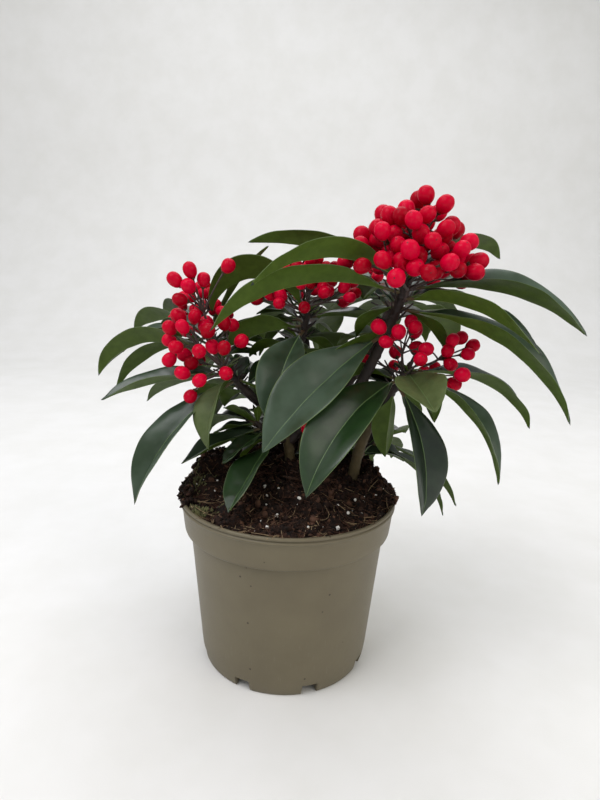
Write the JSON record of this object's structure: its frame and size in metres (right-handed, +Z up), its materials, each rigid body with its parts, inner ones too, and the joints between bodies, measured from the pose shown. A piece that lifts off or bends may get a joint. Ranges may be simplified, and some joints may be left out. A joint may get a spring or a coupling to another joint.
{
  "type": "potted skimmia shrub",
  "caption": "Potted skimmia shrub with long leathery leaves and domed clusters of round fruit, in a round nursery pot filled with soil.",
  "frame": {"origin": "centre of the pot's flat underside", "axes": "+Z up, the plant's front faces -Y, +X to the right as seen from the front"},
  "size_m": [0.2687, 0.2169, 0.2813],
  "materials": {
    "pot": "satin moulded polypropylene",
    "soil": "moist fibrous peat with specks of perlite",
    "bark": "dark young bark",
    "foliage": "glossy leathery leaf with red fruit"
  },
  "bodies": {
    "root": {"pot": "pot", "soil": "soil", "stem_left": "bark", "stem_centre": "bark", "stem_right": "bark", "stem_back": "bark", "bough_top": "bark", "bough_left": "bark", "bough_centre": "bark", "bough_back_centre": "bark", "bough_back_right": "bark", "bough_back_left": "bark", "mass_top": "foliage", "mass_front_right": "foliage", "mass_centre": "foliage", "mass_left": "foliage", "mass_low_left": "foliage", "mass_low_right": "foliage", "mass_back_right": "foliage", "mass_back_centre": "foliage", "mass_back_left": "foliage", "mass_back_low": "foliage"}
  },
  "joints": []
}
